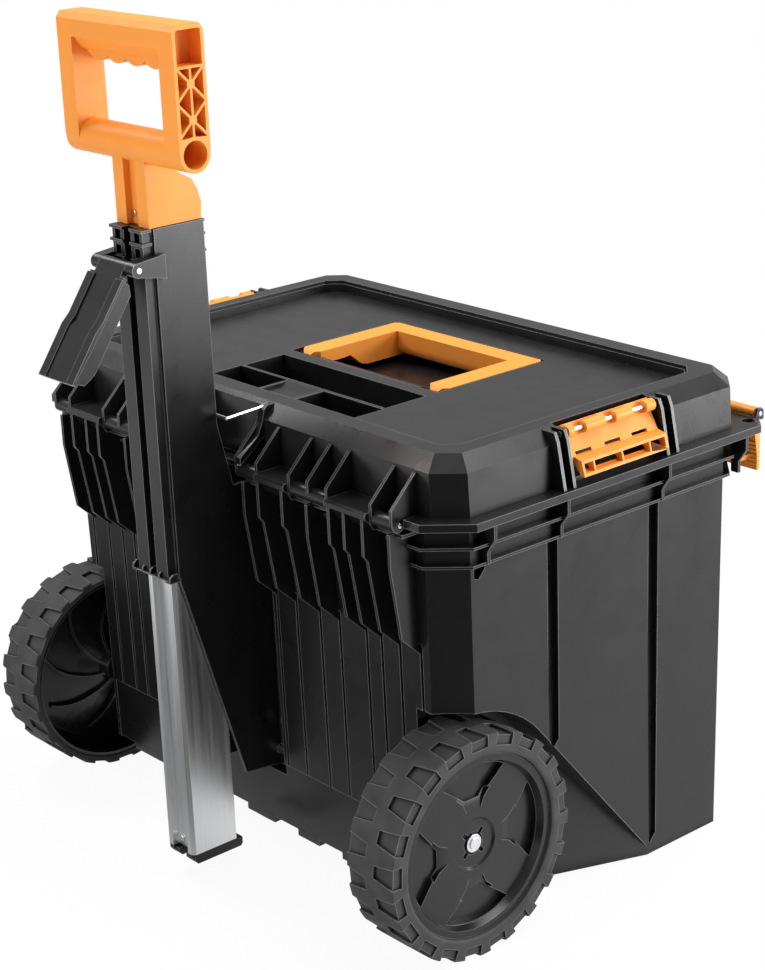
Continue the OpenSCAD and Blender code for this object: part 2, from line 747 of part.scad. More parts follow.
// Outer end of the hinge pins, which show beside the last rib
hinge_pin_end = segments[4][1] + 2.5;

module hinge_pin() {
    color(STEEL) bar_x(segments[0][0] - 3, hinge_pin_end, hinge_y, hinge_z, hinge_pin_d);
}

// Depth of the recess in the disc's hub below the tyre's outer face
web_in = 14;
// Place of the caps against the recess in the discs, and end of the axle
cap_x = wheel_x + tyre_w - web_in + slide_gap;
axle_end = cap_x + 4;

module axle() {
    color(STEEL) bar_x(-axle_end, axle_end, -axle_back, axle_z, axle_d);
}

module axle_cap() {
    color(STEEL) difference() {
        bar_x(cap_x, cap_x + 3, -axle_back, axle_z, axle_d + 6);
        bar_x(cap_x - 1, axle_end, -axle_back, axle_z, axle_d);
    }
}

// Depths across the wheel, measured from its inner face
web_x = tyre_w - web_in;
rim_face_x = tyre_w - 4;
shell_x = 34;
hub_r = 21;
disc_rim_t = 6;
// Outside radius of the disc's deep rim behind the web; the tyre is thin there
shell_r = wheel_d / 2 - 8;

module wheel_disc() {
    r = disc_d / 2;
    bore_r = axle_d / 2 + pin_gap;
    color(BLACK) translate([wheel_x, -axle_back, axle_z]) rotate([0, 90, 0]) difference() {
        union() {
            rotate_extrude($fn = 96) polygon([[bore_r, 3], [hub_r - 9, 3], [hub_r - 5, 12],
                [hub_r + 14, 23], [r - 20, 32], [r - 4, web_x - 6], [r, web_x - 5.5],
                [shell_r - 3, shell_x - 3],
                [shell_r - 3, 2], [shell_r, 2], [shell_r, shell_x], [r, web_x],
                [r, rim_face_x], [r - disc_rim_t, rim_face_x], [r - disc_rim_t - 3, web_x + 4],
                [hub_r + 2, web_x + 4], [hub_r, web_x + 2], [bore_r, web_x + 2]]);
            spokes(r);
        }
        for (a = [0:90:270]) rotate([0, 0, a]) {
            chevron();
            chevron_facet();
        }
        hub_recess();
    }
}

// Eight curved spokes on the inner side of the disc, each a quarter of a thin ring
module spokes(r) {
    bend = 46;
    intersection() {
        rotate_extrude($fn = 96) polygon([[hub_r - 11, 5], [hub_r - 5, 8], [hub_r + 14, 18],
            [r - 20, 27], [r - 4, 32], [r - 4, web_x], [hub_r - 11, web_x]]);
        for (a = [22.5:45:337.5]) rotate([0, 0, a]) translate([hub_r - 14, -bend, 0])
            intersection() {
                difference() {
                    cylinder(r = bend + 1.2, h = web_x);
                    translate([0, 0, -1]) cylinder(r = bend - 1.2, h = web_x + 2);
                }
                cube([bend + 2, bend + 2, web_x]);
            }
    }
}

// Sunk panel in the outer face, with a pointed inner edge
module chevron() {
    translate([0, 0, web_x - 1]) linear_extrude(20) intersection() {
        circle(r = disc_d / 2 - disc_rim_t - 3.5, $fn = 96);
        polygon([[40, -7.5], [40, 7.5], [63, 37], [90, 50], [90, -50], [63, -37]]);
    }
}

// Sloped facet between a sunk panel and the hub
module chevron_facet() {
    translate([29, 0, web_x + 4]) rotate([0, 14, 0]) linear_extrude(8)
        polygon([[0, -7], [10, -11.5], [17, -19], [17, 19], [10, 11.5], [0, 7]]);
}

// Recess round the axle end, with four keyways
module hub_recess() {
    translate([0, 0, web_x]) {
        cylinder(r = 10, h = 20);
        for (a = [45:90:315]) rotate([0, 0, a]) translate([0, -1.8, 0]) cube([15, 3.6, 20]);
    }
}

// Tread pocket: wide at the shoulder and narrow at the middle of the tread
module tread_pocket() {
    reach = tyre_w / 2 - 5;
    polygon([[-eps * 2, -9], [-eps * 2, 9], [reach, 5.5], [reach, -5.5]]);
}

module tyre() {
    r = wheel_d / 2;
    pitch = 360 / tread_count;
    color(RUBBER) translate([wheel_x, -axle_back, axle_z]) rotate([0, 90, 0]) difference() {
        rotate_extrude($fn = 96) polygon([[shell_r, 1], [shell_r + 1, 0], [r - 0.8, 0],
            [r, 0.8], [r, tyre_w - 0.8], [r - 0.8, tyre_w], [disc_d / 2 + 4, tyre_w],
            [disc_d / 2 + 1, tyre_w - 1.5], [disc_d / 2, tyre_w - 4],
            [disc_d / 2, web_x], [shell_r, shell_x]]);
        for (i = [0:tread_count - 1]) {
            rotate([0, 0, i * pitch]) translate([r - tread_depth, 0, 0])
                rotate([0, 90, 0]) linear_extrude(10) mirror([1, 0]) tread_pocket();
            rotate([0, 0, (i + 0.5) * pitch]) translate([r - tread_depth, 0, tyre_w]) {
                rotate([0, 90, 0]) linear_extrude(10) tread_pocket();
                translate([-8, -9, -2]) cube([12, 18, 3]);
            }
        }
    }
}

// Guide sleeve with its bracket

sleeve_back = profile_back + 5.5;
sleeve_front = profile_back - profile_d - 6;
side_back = profile_back - 4;
bracket_plate_t = 3;

module profile_outline(grow) {
    w = profile_w / 2 + grow;
    y0 = -profile_back - grow;
    y1 = -profile_back + profile_d + grow;
    groove = 11 - grow;
    polygon([[groove, y0], [w - 3, y0], [w, y0 + 3], [w, y1], [-w, y1], [-w, y0 + 3],
        [-w + 3, y0], [-groove, y0], [-groove, y0 + 6.5], [groove, y0 + 6.5]]);
}

module sleeve_outline() {
    w = sleeve_w / 2;
    polygon([[5, -sleeve_back], [w - 3, -sleeve_back], [w - 3, -side_back], [w, -side_back],
        [w, -sleeve_front], [-w, -sleeve_front], [-w, -side_back], [-w + 3, -side_back],
        [-w + 3, -sleeve_back], [-5, -sleeve_back], [-5, -sleeve_back + 6],
        [5, -sleeve_back + 6]]);
}

// Side plate of the bracket that carries the sleeve on the tub, in (y, z)
module bracket_outline() {
    foot_z = dock_z0 + 2;
    head_z = dock_z1 - 2;
    polygon([[-side_back, sleeve_z + 1], [dock_y - 44, foot_z + 5.5],
        [dock_y - slide_gap, foot_z], [dock_y - slide_gap, head_z], [dock_y - 38, head_z],
        [-sleeve_front - 0.5, head_z + 60], [-sleeve_front - 3, head_z + 60]]);
}

// Rib round the two rear lobes of the sleeve and along its front
module sleeve_collar(z) {
    w = sleeve_w / 2 - 3;
    both_sides() block([5, -sleeve_back - 1.8, z], [w + 1.8, -sleeve_back + 8, z + 2.4]);
    block([-w - 2, -sleeve_front - 1, z], [w + 2, -sleeve_front + 2, z + 2.4]);
}

// Flange at the lower end of the sleeve, with small gussets
module sleeve_flange() {
    w = sleeve_w / 2 + 3.5;
    block([-w, -sleeve_back - 3, sleeve_z], [w, -sleeve_back + 9, sleeve_z + 2]);
    for (x = [-w, -14, -3, 10, w - 1.8]) along_x(x, x + 1.8)
        polygon([[-sleeve_back - 3, sleeve_z], [-sleeve_back - 2.4, sleeve_z + 5],
            [-sleeve_back + 1, sleeve_z + 7.5], [-sleeve_back + 6, sleeve_z + 7.5],
            [-sleeve_back + 6, sleeve_z]]);
}

// Windows in the rear lobes, just below the rim of the sleeve
module sleeve_windows() {
    both_sides() for (z = [sleeve_top - 11, sleeve_top - 24])
        block([9.5, -far, z], [17.5, -sleeve_back + 3.5, z + 8]);
}

// Relief at the foot of the sleeve's bore, into which the foot rivet runs at full reach
module rivet_relief() {
    block([-9, -profile_back + 4, sleeve_z - 1], [9, -profile_back + 6.6, sleeve_z + 8]);
}

module guide_sleeve() {
    color(BLACK) difference() {
        union() {
            translate([0, 0, sleeve_z]) linear_extrude(sleeve_top - sleeve_z) sleeve_outline();
            sleeve_flange();
            for (z = [2.4, 13.4, 27.4]) sleeve_collar(sleeve_top - z);
            both_sides() along_x(sleeve_w / 2 - bracket_plate_t, sleeve_w / 2)
                bracket_outline();
            block([-dock_hx + slide_gap, dock_y - slide_gap - 4, dock_z0 + 2],
                [dock_hx - slide_gap, dock_y - slide_gap, dock_z1 - 2]);
            both_sides() flap_ear();
        }
        translate([0, 0, sleeve_z - 1]) linear_extrude(sleeve_top - sleeve_z + 2)
            profile_outline(slide_gap);
        translate([0, 0, dock_z0 - 2]) linear_extrude(sleeve_z - dock_z0 + 3) free_path();
        sleeve_windows();
        rivet_relief();
        bar_x(-dock_hx, dock_hx, -flap_back, flap_z, flap_pin_d + 2 * pin_gap);
        bar_x(-dock_hx, dock_hx, -axle_back, axle_z, axle_d + 2 * pin_gap);
        screw_places() cylinder(d = screw_d, h = 30);
    }
}

// Free path of the profile below the sleeve, between the side plates
module free_path() {
    w = sleeve_w / 2 - bracket_plate_t;
    polygon([[-w, -far], [w, -far], [w, -sleeve_front], [-w, -sleeve_front]]);
}

flap_pin_d = 5;
ear_x0 = flap_w / 2 - 5.4;
ear_t = 11;

module flap_ear() {
    along_x(ear_x0, ear_x0 + ear_t) {
        translate([-flap_back, flap_z]) circle(d = 12.6);
        polygon([[-flap_back - 2, flap_z + 6], [-side_back + 6, flap_z + 9],
            [-side_back + 6, flap_z - 11], [-flap_back + 1, flap_z - 6.3]]);
    }
    block([sleeve_w / 2 - 1, -side_back + 1, flap_z - 11],
        [ear_x0 + ear_t, -side_back + 6, flap_z + 9]);
}

// Four screws that hold the bracket plate on the tub
screw_d = 5;
screw_head_d = 9;

screw_x = dock_hx - 9;
screw_z = [dock_z0 + 48, dock_z1 - 42];

module screw_places() {
    both_sides() for (z = screw_z)
        translate([screw_x, dock_y + 9, z]) rotate([90, 0, 0]) children();
}

module sleeve_screws() {
    color(STEEL) both_sides() for (z = screw_z)
        translate([screw_x, dock_y - slide_gap - 4, z]) rotate([90, 0, 0])
            cylinder(d = screw_head_d, h = 3);
}

// L-shaped wire hooks on the lid, which reach round the sleeve from both sides
module wire_hooks() {
    inner_x = sleeve_w / 2 + 1.6;
    color(STEEL) both_sides() {
        wire_leg(wire_d, wire_root - 1);
        translate([wire_x, wire_y1, wire_z]) sphere(d = wire_d);
        bar_x(inner_x, wire_x, wire_y1, wire_z, wire_d);
    }
}

module flap_pin() {
    color(STEEL) bar_x(-ear_x0 - ear_t - 1, ear_x0 + ear_t + 1, -flap_back, flap_z, flap_pin_d);
}

// Flap, drawn hanging straight down from its pin and then leaned back
module sleeve_flap() {
    hw = flap_w / 2;
    barrel = ear_x0 - slide_gap;
    color(BLACK) translate([0, -flap_back, flap_z]) rotate([-flap_lean, 0, 0]) difference() {
        union() {
            bar_x(-barrel, barrel, 0, 0, 12);
            along_x(-barrel, barrel) polygon([[-6, 0], [-6, -14], [-2.5, -14], [0, -4]]);
            along_x(-hw, hw) polygon([[-6, -10], [-6, -54], [-8.5, -60], [-8.5, -flap_l],
                [-5.5, -flap_l], [-5.5, -61], [-3, -55], [-3, -10]]);
            both_sides() along_x(hw - 3, hw) polygon([[-6, -13], [1, -13], [7, -20],
                [7, -flap_l + 16], [2, -flap_l + 4], [-8, -flap_l + 2]]);
            both_sides() along_x(hw - 9, hw + 0.8) polygon([[-7.5, -12], [-7.5, -50],
                [-9.6, -60], [-9.6, -flap_l], [-7.6, -flap_l], [-5, -60], [-5, -12]]);
        }
        bar_x(-barrel - 1, barrel + 1, 0, 0, flap_pin_d + 2 * pin_gap);
    }
}

// Sliding part of the trolley

profile_top = sleeve_top - 12;

module trolley_profile() {
    color(ALU) translate([0, 0, profile_z]) linear_extrude(profile_top - profile_z)
        difference() {
            profile_outline(0);
            profile_outline(-profile_t);
        }
}

foot_drop = 9.5;

module profile_foot() {
    y0 = -profile_back;
    y1 = -profile_back + profile_d;
    color(BLACK) {
        translate([0, 0, profile_z - 4]) linear_extrude(4) profile_outline(-0.2);
        translate([0, 0, profile_z - eps]) linear_extrude(18) profile_outline(-profile_t - 0.05);
        both_sides() along_x(5, profile_w / 2 - 0.6)
            polygon([[y0 + 2, profile_z - 2], [y0 + 2, profile_z - 6],
                [y0 + 5, profile_z - foot_drop], [y1 + 5, profile_z - foot_drop],
                [y1 + 7, profile_z - 7], [y1 + 7, profile_z - 1], [y1 + 4, profile_z - 1],
                [y1 + 2, profile_z - 2]]);
    }
}

post_w = profile_w + 5.6;
grip_back = profile_back + 4.5;
grip_bottom = grip_top - grip_h;
tube_r = 14.5;
grip_y = -grip_back + grip_t / 2;
// Front face of the post, just above the sleeve
gusset_y = -profile_back + profile_d + 5;

// Side view of the grip in (y, z): flat faces, round top edges and a round lower bar
module grip_side(inset) {
    r = tube_r - inset;
    h = grip_t / 2 - inset;
    translate([grip_y, grip_bottom + tube_r]) circle(r = r);
    polygon([[grip_y - h, grip_bottom + tube_r + 3], [grip_y - r, grip_bottom + tube_r],
        [grip_y + r, grip_bottom + tube_r], [grip_y + h, grip_bottom + tube_r + 3],
        [grip_y + h, grip_top - 5], [grip_y + h - 4, grip_top - inset],
        [grip_y - h + 4, grip_top - inset], [grip_y - h, grip_top - 5]]);
}

module grip_window() {
    tube_z = grip_bottom + tube_r;
    back = grip_y - grip_t / 2;
    front = grip_y + grip_t / 2;
    difference() {
        along_x(-grip_w / 2 + 20, grip_w / 2 - 20) polygon([[back - 1, grip_top - 19],
            [back + 3, grip_top - 20], [back + 8, grip_top - 28], [grip_y + 4, grip_top - 36],
            [front - 3, grip_top - 40], [front + 1, grip_top - 40], [front + 1, tube_z],
            [back - 1, tube_z]]);
        bar_x(-grip_w, grip_w, grip_y, tube_z, 2 * tube_r);
        finger_bumps();
    }
}

// Rounded bumps for the fingers, below the upper bar
module finger_bumps() {
    for (k = [-1.5:1:1.5]) translate([k * 26, grip_y + 5, grip_top - 19]) rotate([90, 0, 0])
        cylinder(r = 19, h = 9, $fn = 64);
}

// Pocket in each end of the grip, with crossed ribs left standing in it
module grip_end_pocket() {
    z0 = grip_bottom + 2 * tube_r - 1;
    z1 = grip_top - 4;
    depth = 16;
    shelf = z1 - 28;
    half = (shelf - z0) / 4;
    rib = 2;
    difference() {
        intersection() {
            along_x(grip_w / 2 - depth, grip_w / 2 + 1) grip_side(grip_wall);
            block([0, -far, z0], [far, 0, z1]);
        }
        bar_x(grip_w / 2 - depth - 1, grip_w / 2 + 2, grip_y, grip_bottom + tube_r, 2 * tube_r);
        translate([grip_w / 2 - depth - 1, 0, 0]) {
            block([0, -far, shelf - rib], [depth + 3, 0, shelf]);
            block([0, grip_y - rib / 2, z0], [depth + 3, grip_y + rib / 2, shelf]);
            for (c = [z0 + half, z0 + 3 * half]) translate([0, grip_y, c]) {
                for (a = [-45, 45]) rotate([a, 0, 0])
                    translate([0, -rib / 2, -half * 1.5]) cube([depth + 3, rib, half * 3]);
                rotate([0, 90, 0]) cylinder(d = 7.5, h = depth + 3);
            }
        }
    }
}

module trolley_grip() {
    z0 = sleeve_top + 0.5;
    color(ORANGE) difference() {
        union() {
            along_x(-grip_w / 2, grip_w / 2) grip_side(0);
            translate([0, 0, z0]) linear_extrude(grip_bottom + 6 - z0) post_outline(24);
            translate([0, 0, profile_top - 30]) linear_extrude(z0 - profile_top + 31)
                profile_outline(-profile_t - 0.1);
            along_x(-post_w / 2, post_w / 2) polygon([[gusset_y, z0], [gusset_y + 1, z0 + 14],
                [gusset_y - 2, z0 + 25], [gusset_y - 7, z0 + 34], [gusset_y - 16, z0 + 39],
                [grip_y, grip_bottom + 6], [grip_y, z0]]);
        }
        grip_window();
        both_sides() grip_end_pocket();
        both_sides() bar_x(grip_w / 2 - 45, grip_w / 2 + 1, grip_y, grip_bottom + tube_r,
            2 * (tube_r - grip_wall));
    }
}

module post_outline(short) {
    w = post_w / 2;
    y0 = -profile_back + 1;
    y1 = gusset_y - short;
    polygon([[8, y0], [w, y0], [w, y1], [-w, y1], [-w, y0], [-8, y0], [-8, y0 + 6], [8, y0 + 6]]);
}

module rivet(y, z) {
    color(STEEL) translate([-5, y, z]) rotate([90, 0, 0]) cylinder(d = 6, h = 1.6);
}

module grip_rivet() {
    rivet(-profile_back + 7, sleeve_top + 9);
}

module foot_rivet() {
    rivet(-profile_back + 6.5, profile_z + 7);
}

tub();
axle();
axle_cap();  // axle_cap_right
mirror([1, 0, 0]) axle_cap();  // axle_cap_left
wheel_disc();  // wheel_disc_right
mirror([1, 0, 0]) wheel_disc();  // wheel_disc_left
tyre();  // tyre_right
mirror([1, 0, 0]) tyre();  // tyre_left
guide_sleeve();
sleeve_screws();
wire_hooks();
flap_pin();
sleeve_flap();
trolley_profile();
profile_foot();
trolley_grip();
grip_rivet();
foot_rivet();
lid();
hinge_pin();  // hinge_pin_right
mirror([1, 0, 0]) hinge_pin();  // hinge_pin_left
lid_handle();
handle_pin();  // handle_pin_right
mirror([1, 0, 0]) handle_pin();  // handle_pin_left
end_latch();  // end_latch_right
mirror([1, 0, 0]) end_latch();  // end_latch_left
end_latch_pin();  // end_latch_pin_right
mirror([1, 0, 0]) end_latch_pin();  // end_latch_pin_left
front_latch();  // front_latch_right
mirror([1, 0, 0]) front_latch();  // front_latch_left
front_latch_pin();  // front_latch_pin_right
mirror([1, 0, 0]) front_latch_pin();  // front_latch_pin_left
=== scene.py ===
import json
import math

import bpy
from mathutils import Matrix, Vector

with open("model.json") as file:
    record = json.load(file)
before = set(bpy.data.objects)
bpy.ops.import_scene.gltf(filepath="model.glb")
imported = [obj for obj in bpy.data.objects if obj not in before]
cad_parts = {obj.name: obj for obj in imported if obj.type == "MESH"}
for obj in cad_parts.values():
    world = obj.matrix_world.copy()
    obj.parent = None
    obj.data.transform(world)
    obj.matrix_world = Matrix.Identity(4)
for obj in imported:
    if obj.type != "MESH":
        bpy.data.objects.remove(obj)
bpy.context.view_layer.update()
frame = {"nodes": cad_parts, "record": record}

# Camera: the photograph's viewpoint, with the frame taken to be 765 x 970 pixels
PHOTO_HEIGHT_PX = 970
FOCAL_PX = 2267.5
SENSOR_MM = 36.0
CAMERA_AZIMUTH = 49.904
CAMERA_ELEVATION = 19.288
CAMERA_ROLL = -2.438
CAMERA_PLACE = Vector((1.5089, -1.2797, 0.9960))


def make_camera():
    azimuth, elevation, roll = (
        math.radians(a) for a in (CAMERA_AZIMUTH, CAMERA_ELEVATION, CAMERA_ROLL))
    ahead = Vector((-math.sin(azimuth) * math.cos(elevation),
                    math.cos(azimuth) * math.cos(elevation), -math.sin(elevation)))
    level = Vector((math.cos(azimuth), math.sin(azimuth), 0.0))
    above = level.cross(ahead)
    right = math.cos(roll) * level + math.sin(roll) * above
    up = -math.sin(roll) * level + math.cos(roll) * above
    data = bpy.data.cameras.new("camera")
    data.sensor_width = SENSOR_MM
    data.lens = FOCAL_PX / PHOTO_HEIGHT_PX * SENSOR_MM
    data.clip_start, data.clip_end = 0.05, 60.0
    camera = bpy.data.objects.new("camera", data)
    camera.matrix_world = Matrix.Translation(CAMERA_PLACE) @ Matrix(
        (right, up, -ahead)).transposed().to_4x4()
    bpy.context.scene.collection.objects.link(camera)
    bpy.context.scene.camera = camera


# Materials

# Sockets of a colour mix node, which it can only name by number
MIX_FACTOR, MIX_FIRST, MIX_SECOND, MIX_RESULT = 0, 6, 7, 2
# The part of a noise texture's range that most of its values lie in
NOISE_LOW, NOISE_HIGH = 0.3, 0.7


class Nodes:
    """A short way to build one material's node tree."""

    def __init__(self, name):
        self.material = bpy.data.materials.new(name)
        self.material.use_nodes = True
        self.tree = self.material.node_tree
        self.shader = self.tree.nodes["Principled BSDF"]
        self.place = self.add("ShaderNodeTexCoord").outputs["Object"]

    def add(self, kind, **values):
        node = self.tree.nodes.new(kind)
        for key, value in values.items():
            setattr(node, key, value)
        return node

    def link(self, output, socket):
        self.tree.links.new(output, socket)

    def noise(self, scale, detail=2.0, stretch=None):
        node = self.add("ShaderNodeTexNoise")
        node.inputs["Scale"].default_value = scale
        node.inputs["Detail"].default_value = detail
        if stretch:
            mapping = self.add("ShaderNodeMapping")
            mapping.inputs["Scale"].default_value = stretch
            self.link(self.place, mapping.inputs["Vector"])
            self.link(mapping.outputs["Vector"], node.inputs["Vector"])
        else:
            self.link(self.place, node.inputs["Vector"])
        return node.outputs["Fac"]

    def span(self, value, low, high):
        """Maps the usual values of a noise onto low to high."""
        node = self.add("ShaderNodeMapRange")
        node.inputs["From Min"].default_value = NOISE_LOW
        node.inputs["From Max"].default_value = NOISE_HIGH
        node.inputs["To Min"].default_value = low
        node.inputs["To Max"].default_value = high
        self.link(value, node.inputs["Value"])
        return node.outputs["Result"]

    def mix(self, factor, first, second):
        """Mixes a colour or a socket with a colour."""
        node = self.add("ShaderNodeMix", data_type="RGBA")
        self.link(factor, node.inputs[MIX_FACTOR])
        if isinstance(first, tuple):
            node.inputs[MIX_FIRST].default_value = (*first, 1.0)
        else:
            self.link(first, node.inputs[MIX_FIRST])
        node.inputs[MIX_SECOND].default_value = (*second, 1.0)
        return node.outputs[MIX_RESULT]

    def bump(self, height, strength, distance, below=None):
        node = self.add("ShaderNodeBump")
        node.inputs["Strength"].default_value = strength
        node.inputs["Distance"].default_value = distance
        self.link(height, node.inputs["Height"])
        if below:
            self.link(below, node.inputs["Normal"])
        return node.outputs["Normal"]


OCCLUSION_SAMPLES = 8
# Distance, and the openness at which each painted highlight and painted shade is full and at
# which it starts
PAINTED_HIGHLIGHT_EDGE = (0.0011, 0.50, 0.85)
PAINTED_SHADE_CORNER = (0.010, 0.25, 0.90)
PAINTED_SHADE_TREAD = (0.005, 0.30, 0.85)


def nearness(n, inside, distance, low, high):
    """Rises from zero to one near outer edges (inside), or in inner corners (not inside)."""
    node = n.add("ShaderNodeAmbientOcclusion", inside=inside, samples=OCCLUSION_SAMPLES)
    node.inputs["Distance"].default_value = distance
    rise = n.add("ShaderNodeMapRange")
    rise.inputs["From Min"].default_value = high
    rise.inputs["From Max"].default_value = low
    n.link(node.outputs["AO"], rise.inputs["Value"])
    return rise.outputs["Result"]


# Share of its shine that a surface keeps in inner corners, as painted shade
SHADED_CORNER_SHINE = 0.25


def painted_edge_highlights_and_corner_shade(n, base, edge_highlight_colour, specular):
    """Paints highlights onto outer edges as a lighter colour, and paints shade into inner
    corners as less shine.
    """
    n.link(n.mix(nearness(n, True, *PAINTED_HIGHLIGHT_EDGE), base, edge_highlight_colour),
           n.shader.inputs["Base Color"])
    shine = n.add("ShaderNodeMapRange")
    shine.inputs["To Min"].default_value = specular
    shine.inputs["To Max"].default_value = specular * SHADED_CORNER_SHINE
    n.link(nearness(n, False, *PAINTED_SHADE_CORNER), shine.inputs["Value"])
    n.link(shine.outputs["Result"], n.shader.inputs["Specular IOR Level"])


def grip_lines(n, start, end, pitch):
    """Height of fine level lines between two heights of the piece."""
    axes = n.add("ShaderNodeSeparateXYZ")
    n.link(n.place, axes.inputs[0])
    wave = n.add("ShaderNodeMath", operation="SINE")
    turn = n.add("ShaderNodeMath", operation="MULTIPLY")
    turn.inputs[1].default_value = 2 * math.pi / pitch
    n.link(axes.outputs["Z"], turn.inputs[0])
    n.link(turn.outputs[0], wave.inputs[0])
    band = n.add("ShaderNodeMath", operation="COMPARE")
    band.inputs[1].default_value = (start + end) / 2
    band.inputs[2].default_value = (end - start) / 2
    n.link(axes.outputs["Z"], band.inputs[0])
    height = n.add("ShaderNodeMath", operation="MULTIPLY")
    n.link(wave.outputs[0], height.inputs[0])
    n.link(band.outputs[0], height.inputs[1])
    return height.outputs[0]


def moulded(name, dark, light, rough_low, rough_high, grain, grain_depth, specular,
            lines=None, edge_highlight_colour=None):
    """Injection-moulded plastic: fine grain, faint flow marks and uneven gloss, and with an edge
    highlight colour, painted highlights on outer edges and painted shade in inner corners.
    """
    n = Nodes(name)
    flow = n.noise(9.0, 3.0, (1.0, 1.0, 0.35))
    base = n.mix(n.span(flow, 0.0, 1.0), dark, light)
    if edge_highlight_colour:
        painted_edge_highlights_and_corner_shade(n, base, edge_highlight_colour, specular)
    else:
        n.link(base, n.shader.inputs["Base Color"])
        n.shader.inputs["Specular IOR Level"].default_value = specular
    n.link(n.span(n.noise(38.0, 4.0), rough_low, rough_high), n.shader.inputs["Roughness"])
    swell = n.bump(n.noise(14.0, 1.0), 0.05, 0.0012)
    if lines:
        swell = n.bump(grip_lines(n, *lines), 1.0, 0.0005, swell)
    n.link(n.bump(n.noise(grain, 3.0), 0.5, grain_depth, swell), n.shader.inputs["Normal"])
    return n.material


def rubber(name):
    """Dull rubber with painted shade in its tread corners and painted highlights on its outer
    edges.
    """
    n = Nodes(name)
    base = n.mix(n.span(n.noise(60.0, 4.0), 0.0, 1.0), (0.036, 0.036, 0.0366),
                 (0.058, 0.058, 0.059))
    # Painted shade: tread corners darkened to near black
    base = n.mix(nearness(n, False, *PAINTED_SHADE_TREAD), base, (0.008, 0.008, 0.008))
    # Painted highlight: outer edges lightened to grey
    base = n.mix(nearness(n, True, *PAINTED_HIGHLIGHT_EDGE), base, (0.17, 0.17, 0.17))
    n.link(base, n.shader.inputs["Base Color"])
    n.link(n.span(n.noise(120.0, 3.0), 0.55, 0.72), n.shader.inputs["Roughness"])
    n.link(n.bump(n.noise(1500.0, 2.0), 0.6, 0.00008), n.shader.inputs["Normal"])
    n.shader.inputs["Specular IOR Level"].default_value = 0.22
    return n.material


LINE_DARKNESS = 0.88


def drawn_metal(name, colour, rough_low, rough_high, stretch, depth):
    """Metal with fine lines along its length."""
    n = Nodes(name)
    lines = n.noise(420.0, 3.0, stretch)
    dark = tuple(c * LINE_DARKNESS for c in colour)
    n.link(n.mix(n.span(lines, 0.0, 1.0), dark, colour), n.shader.inputs["Base Color"])
    n.link(n.span(lines, rough_low, rough_high), n.shader.inputs["Roughness"])
    n.link(n.bump(lines, 0.35, depth), n.shader.inputs["Normal"])
    n.shader.inputs["Metallic"].default_value = 1.0
    return n.material


# The black plastics get painted highlights along outer edges and painted shade in inner corners
BLACK = moulded("black_plastic", (0.006, 0.006, 0.0063), (0.010, 0.010, 0.0104),
                0.25, 0.34, 1700.0, 0.00003, 0.44, edge_highlight_colour=(0.19, 0.19, 0.19))
WHEEL_BLACK = moulded("wheel_plastic", (0.007, 0.007, 0.0074), (0.011, 0.011, 0.0114),
                      0.20, 0.30, 1300.0, 0.00003, 0.44, edge_highlight_colour=(0.16, 0.16, 0.16))
ORANGE_LOOK = ((0.84, 0.285, 0.040), (0.89, 0.32, 0.048), 0.36, 0.48, 1500.0, 0.00005, 0.24)
ORANGE = moulded("orange_plastic", *ORANGE_LOOK)
# Front latches have fine finger lines on the lower part of their plates
LATCH_ORANGE = moulded("latch_plastic", *ORANGE_LOOK, lines=(0.3355, 0.3595, 0.004))
TYRE = rubber("tyre_rubber")
ALUMINIUM = drawn_metal("anodised_aluminium", (0.92, 0.93, 0.94), 0.30, 0.42,
                        (1.0, 1.0, 0.02), 0.00004)
STEEL = drawn_metal("bright_steel", (0.82, 0.83, 0.84), 0.18, 0.28,
                    (0.03, 1.0, 1.0), 0.00002)

FINISHES = {
    "black_plastic": BLACK, "orange_plastic": ORANGE, "tyre": TYRE,
    "aluminium": ALUMINIUM, "steel": STEEL,
}
SPECIAL_FINISHES = {
    "wheel_disc_right": WHEEL_BLACK, "wheel_disc_left": WHEEL_BLACK,
    "front_latch_right": LATCH_ORANGE, "front_latch_left": LATCH_ORANGE,
}


# Edges of the carried-over solids

EDGE_WIDTH = {
    "tub": 0.0009, "lid": 0.0010, "guide_sleeve": 0.0007, "sleeve_flap": 0.0006,
    "trolley_grip": 0.0010, "lid_handle": 0.0012, "tyre_right": 0.0009,
    "tyre_left": 0.0009, "wheel_disc_right": 0.0011, "wheel_disc_left": 0.0011,
}
SMALL_EDGE = 0.0004
# Faces with windows that touch their own outline, which must not be joined to one polygon
KEPT_TRIANGLES = ("trolley_grip",)
SAME_POINT = 1e-6
FLAT_ANGLE = math.radians(0.5)
HARD_ANGLE = math.radians(28.0)
EDGE_SEGMENTS = 2
LARGE_FACE_WEIGHT = 80


def soften(obj, width):
    """Rounds the hard edges of a solid, which catch the light on a moulded piece."""
    for polygon in obj.data.polygons:
        polygon.use_smooth = True
    weld = obj.modifiers.new("weld", "WELD")
    weld.merge_threshold = SAME_POINT
    if obj.name not in KEPT_TRIANGLES:
        flat = obj.modifiers.new("flat", "DECIMATE")
        flat.decimate_type = "DISSOLVE"
        flat.angle_limit = FLAT_ANGLE
    bevel = obj.modifiers.new("bevel", "BEVEL")
    bevel.width = width
    bevel.segments = EDGE_SEGMENTS
    bevel.limit_method = "ANGLE"
    bevel.angle_limit = HARD_ANGLE
    bevel.use_clamp_overlap = True
    bevel.harden_normals = False
    normals = obj.modifiers.new("normals", "WEIGHTED_NORMAL")
    normals.keep_sharp = False
    normals.weight = LARGE_FACE_WEIGHT


slots = {s["node"]: s["material_slot"] for s in frame["record"]["subparts"]}


def dress_nodes():
    for name, obj in frame["nodes"].items():
        finish = SPECIAL_FINISHES.get(name, FINISHES[slots[name]])
        obj.data.materials.clear()
        obj.data.materials.append(finish)
        soften(obj, EDGE_WIDTH.get(name, SMALL_EDGE))


# Stage

